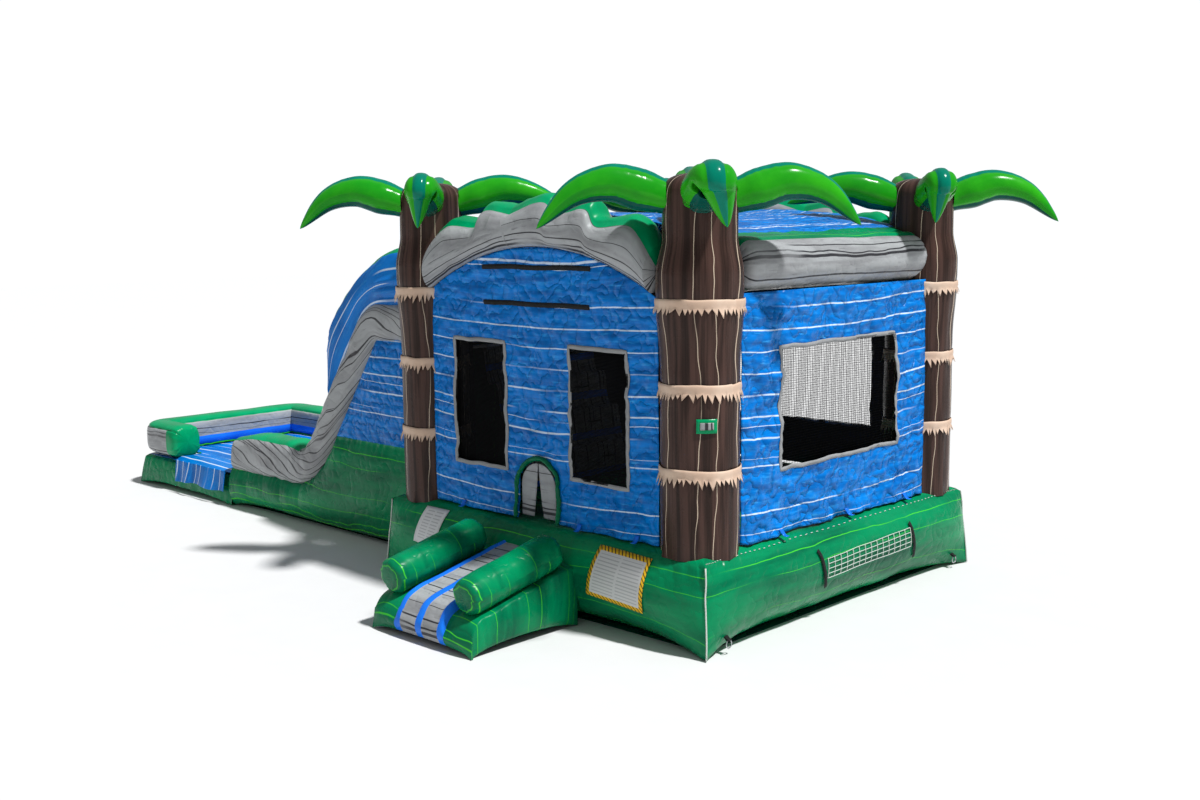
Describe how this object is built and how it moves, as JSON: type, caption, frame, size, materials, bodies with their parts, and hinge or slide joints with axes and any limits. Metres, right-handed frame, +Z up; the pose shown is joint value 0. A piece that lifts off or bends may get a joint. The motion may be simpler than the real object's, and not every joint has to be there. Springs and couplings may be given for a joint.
{
  "type": "inflatable bounce house",
  "caption": "Inflatable bounce house with palm-tree columns, netted windows, an entrance ramp with bolsters, a climbing wall, a slide and a landing pool.",
  "frame": {"origin": "on the ground at the centre of the house's square footprint", "axes": "+X to the right along the house front, +Y towards the back, +Z up"},
  "size_m": [10.5057, 5.6667, 3.7187],
  "materials": {
    "green_vinyl": "glossy PVC-coated fabric with thin lime lines",
    "blue_vinyl": "glossy PVC-coated fabric with wavy pale lines",
    "grey_vinyl": "glossy PVC-coated fabric with dark marbled lines",
    "brown_vinyl": "glossy PVC-coated fabric with pale bark lines",
    "frond_vinyl": "glossy PVC-coated fabric, lime with teal edges",
    "netting": "open polyester safety net",
    "ring_steel": "zinc-plated"
  },
  "bodies": {
    "house": {"ground_sheet": "green_vinyl", "front_base_tube": "green_vinyl", "right_base_tube": "green_vinyl", "back_base_tube": "green_vinyl", "left_base_tube": "green_vinyl", "bounce_floor": "green_vinyl", "front_left_palm_trunk": "brown_vinyl", "front_left_palm_frond_front_left": "frond_vinyl", "front_left_palm_frond_front_right": "frond_vinyl", "front_left_palm_frond_back_right": "frond_vinyl", "front_left_palm_frond_back_left": "frond_vinyl", "front_right_palm_trunk": "brown_vinyl", "front_right_palm_frond_front_left": "frond_vinyl", "front_right_palm_frond_front_right": "frond_vinyl", "front_right_palm_frond_back_right": "frond_vinyl", "front_right_palm_frond_back_left": "frond_vinyl", "back_right_palm_trunk": "brown_vinyl", "back_right_palm_frond_front_left": "frond_vinyl", "back_right_palm_frond_front_right": "frond_vinyl", "back_right_palm_frond_back_right": "frond_vinyl", "back_right_palm_frond_back_left": "frond_vinyl", "back_left_palm_trunk": "brown_vinyl", "back_left_palm_frond_front_left": "frond_vinyl", "back_left_palm_frond_front_right": "frond_vinyl", "back_left_palm_frond_back_right": "frond_vinyl", "back_left_palm_frond_back_left": "frond_vinyl", "front_arch_beam": "grey_vinyl", "back_arch_beam": "grey_vinyl", "right_side_beam": "grey_vinyl", "left_side_beam": "grey_vinyl", "roof_canopy": "blue_vinyl", "front_wall_sheet": "blue_vinyl", "front_left_window_net": "netting", "front_right_window_net": "netting", "back_wall_sheet": "blue_vinyl", "back_window_net": "netting", "right_wall_sheet": "blue_vinyl", "right_window_net": "netting", "left_wall_sheet": "blue_vinyl", "entrance_ramp": "green_vinyl", "left_ramp_bolster": "green_vinyl", "right_ramp_bolster": "green_vinyl", "slide_body": "green_vinyl", "slide_front_side_wall": "blue_vinyl", "slide_back_side_wall": "blue_vinyl", "slide_bed": "blue_vinyl", "climbing_wall": "grey_vinyl", "pool_base": "green_vinyl", "pool_end_wall": "grey_vinyl", "pool_back_wall": "grey_vinyl", "pool_front_wall": "grey_vinyl", "vent_net": "netting", "blower_sleeve": "green_vinyl"},
    "left_door": {"left_door_flap": "grey_vinyl"},
    "right_door": {"right_door_flap": "grey_vinyl"},
    "entry_flap": {"pool_entry_flap": "blue_vinyl"},
    "front_right_ring": {"front_right_anchor_ring": "ring_steel"},
    "back_right_ring": {"back_right_anchor_ring": "ring_steel"},
    "front_left_ring": {"front_left_anchor_ring": "ring_steel"},
    "back_left_ring": {"back_left_anchor_ring": "ring_steel"}
  },
  "joints": [
    {"name": "left_door_swing", "type": "hinge", "parent": "house", "child": "left_door", "pos_m": [-0.21, -1.827, 1.04], "axis": [0, 0, 1], "range_deg": [-85, 85]},
    {"name": "right_door_swing", "type": "hinge", "parent": "house", "child": "right_door", "pos_m": [0.21, -1.827, 1.04], "axis": [0, 0, -1], "range_deg": [-85, 85]},
    {"name": "entry_flap_lift", "type": "hinge", "parent": "house", "child": "entry_flap", "pos_m": [-6.412, -1.428, 0.41], "axis": [-1, 0, 0], "range_deg": [0, 100]},
    {"name": "front_right_ring_swing", "type": "hinge", "parent": "house", "child": "front_right_ring", "pos_m": [1.992, -1.72, 0.115], "axis": [0, -1, 0], "range_deg": [0, 110]},
    {"name": "back_right_ring_swing", "type": "hinge", "parent": "house", "child": "back_right_ring", "pos_m": [1.992, 1.72, 0.115], "axis": [0, -1, 0], "range_deg": [0, 110]},
    {"name": "front_left_ring_swing", "type": "hinge", "parent": "house", "child": "front_left_ring", "pos_m": [-7.994, -1.16, 0.115], "axis": [0, 1, 0], "range_deg": [0, 110]},
    {"name": "back_left_ring_swing", "type": "hinge", "parent": "house", "child": "back_left_ring", "pos_m": [-7.994, 0.76, 0.115], "axis": [0, 1, 0], "range_deg": [0, 110]}
  ]
}
